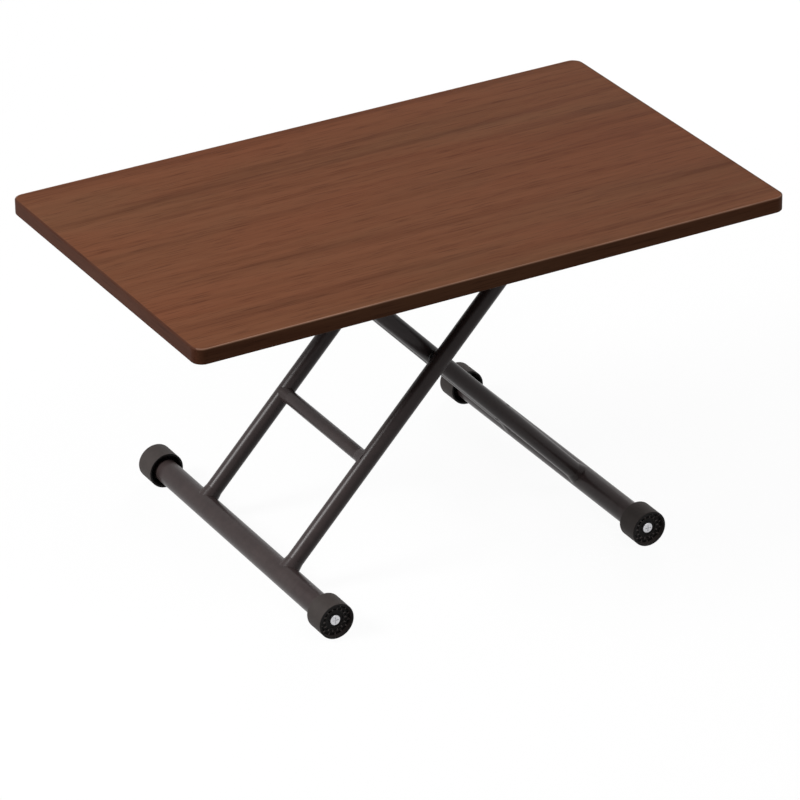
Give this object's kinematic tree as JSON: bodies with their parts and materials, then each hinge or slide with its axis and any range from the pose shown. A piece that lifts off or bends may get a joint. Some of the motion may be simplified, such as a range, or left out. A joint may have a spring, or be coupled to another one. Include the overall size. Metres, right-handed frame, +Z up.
{
  "type": "folding coffee table",
  "caption": "Folding coffee table: rectangular walnut-look top on round black tube scissor legs with roller feet; legs fold flat under the top and lock at any height.",
  "frame": {"origin": "on the floor, under the middle of the table top", "axes": "+X along the top's length towards the inner frame's foot, +Y across it away from the release grip, +Z up"},
  "size_m": [1, 0.6, 0.5385],
  "materials": {
    "walnut_laminate": "satin walnut-grain laminate",
    "walnut_edge": "satin walnut-grain edge band",
    "powder_coat": "satin brown-black powder coat",
    "wheel_plastic": "matte moulded plastic",
    "black_plastic": "matte moulded plastic",
    "nylon": "natural nylon",
    "plated_steel": "zinc-plated pressed steel",
    "bright_steel": "bright zinc-plated steel",
    "rubber": "black rubber"
  },
  "bodies": {
    "top": {"tabletop_panel": "walnut_laminate", "edge_band": "walnut_edge", "slide_rail_near": "powder_coat", "slide_rail_far": "powder_coat", "rail_end_stops": "rubber", "rail_screws": "bright_steel", "pivot_bracket_near": "powder_coat", "pivot_bracket_far": "powder_coat", "top_pivot_bolts": "bright_steel", "top_pivot_nuts": "bright_steel", "bracket_screws": "bright_steel", "guide_rod": "bright_steel", "guide_bracket_left": "powder_coat", "guide_bracket_right": "powder_coat", "guide_rod_nuts": "bright_steel", "guide_bracket_screws": "bright_steel"},
    "inner_frame": {"inner_leg_near": "powder_coat", "inner_leg_far": "powder_coat", "inner_leg_plugs": "black_plastic", "inner_tube_plugs": "black_plastic", "inner_rung": "powder_coat", "inner_foot_tube": "powder_coat", "inner_wheel_screws": "bright_steel", "scissor_bushes": "nylon"},
    "outer_frame": {"outer_leg_near": "powder_coat", "outer_leg_far": "powder_coat", "outer_leg_plugs": "black_plastic", "outer_tube_plugs": "black_plastic", "outer_rung": "powder_coat", "outer_foot_tube": "powder_coat", "outer_wheel_screws": "bright_steel", "scissor_bolts": "bright_steel", "scissor_washers": "bright_steel", "scissor_spacers": "black_plastic", "scissor_inserts": "bright_steel", "slide_axle": "bright_steel", "axle_spacers": "nylon"},
    "roller_near": {"slide_roller_near": "nylon"},
    "roller_far": {"slide_roller_far": "nylon"},
    "lock": {"lock_yoke": "plated_steel", "lever_pin": "bright_steel", "lock_springs": "bright_steel"},
    "release_lever": {"lock_lever": "plated_steel", "release_bar": "bright_steel", "release_grip": "black_plastic"},
    "inner_wheel_near": {"inner_wheel_near": "wheel_plastic"},
    "inner_wheel_far": {"inner_wheel_far": "wheel_plastic"},
    "outer_wheel_near": {"outer_wheel_near": "wheel_plastic"},
    "outer_wheel_far": {"outer_wheel_far": "wheel_plastic"}
  },
  "joints": [
    {"name": "fold", "type": "hinge", "parent": "top", "child": "inner_frame", "pos_m": [-0.17265, 0, 0.49546], "axis": [0, -1, 0], "range_deg": [-23.4, 40.1]},
    {"name": "scissor", "type": "hinge", "parent": "inner_frame", "child": "outer_frame", "pos_m": [-0.005, 0, 0.31818], "axis": [0, -1, 0], "range_deg": [-80.2, 46.8]},
    {"name": "lock_level", "type": "hinge", "parent": "outer_frame", "child": "lock", "pos_m": [0.16265, 0, 0.49546], "axis": [0, -1, 0], "range_deg": [-23.4, 40.1]},
    {"name": "release", "type": "hinge", "parent": "lock", "child": "release_lever", "pos_m": [0.18265, 0, 0.49346], "axis": [0, -1, 0], "range_deg": [0, 8], "stiffness_Nm_per_rad": 2, "springref_deg": -11.46, "deforming": ["lock_springs"]},
    {"name": "roller_near_turn", "type": "hinge", "parent": "outer_frame", "child": "roller_near", "pos_m": [0.16265, -0.159, 0.49546], "axis": [0, 1, 0], "continuous": true},
    {"name": "roller_far_turn", "type": "hinge", "parent": "outer_frame", "child": "roller_far", "pos_m": [0.16265, 0.159, 0.49546], "axis": [0, 1, 0], "continuous": true},
    {"name": "inner_wheel_near_turn", "type": "hinge", "parent": "inner_frame", "child": "inner_wheel_near", "pos_m": [0.26846, -0.271, 0.029], "axis": [0, 1, 0], "continuous": true},
    {"name": "inner_wheel_far_turn", "type": "hinge", "parent": "inner_frame", "child": "inner_wheel_far", "pos_m": [0.26846, 0.271, 0.029], "axis": [0, 1, 0], "continuous": true},
    {"name": "outer_wheel_near_turn", "type": "hinge", "parent": "outer_frame", "child": "outer_wheel_near", "pos_m": [-0.27846, -0.271, 0.029], "axis": [0, 1, 0], "continuous": true},
    {"name": "outer_wheel_far_turn", "type": "hinge", "parent": "outer_frame", "child": "outer_wheel_far", "pos_m": [-0.27846, 0.271, 0.029], "axis": [0, 1, 0], "continuous": true}
  ],
  "couplings": [
    {"joint": "scissor", "follows": "fold", "ratio": -2},
    {"joint": "lock_level", "follows": "fold", "ratio": 1}
  ]
}
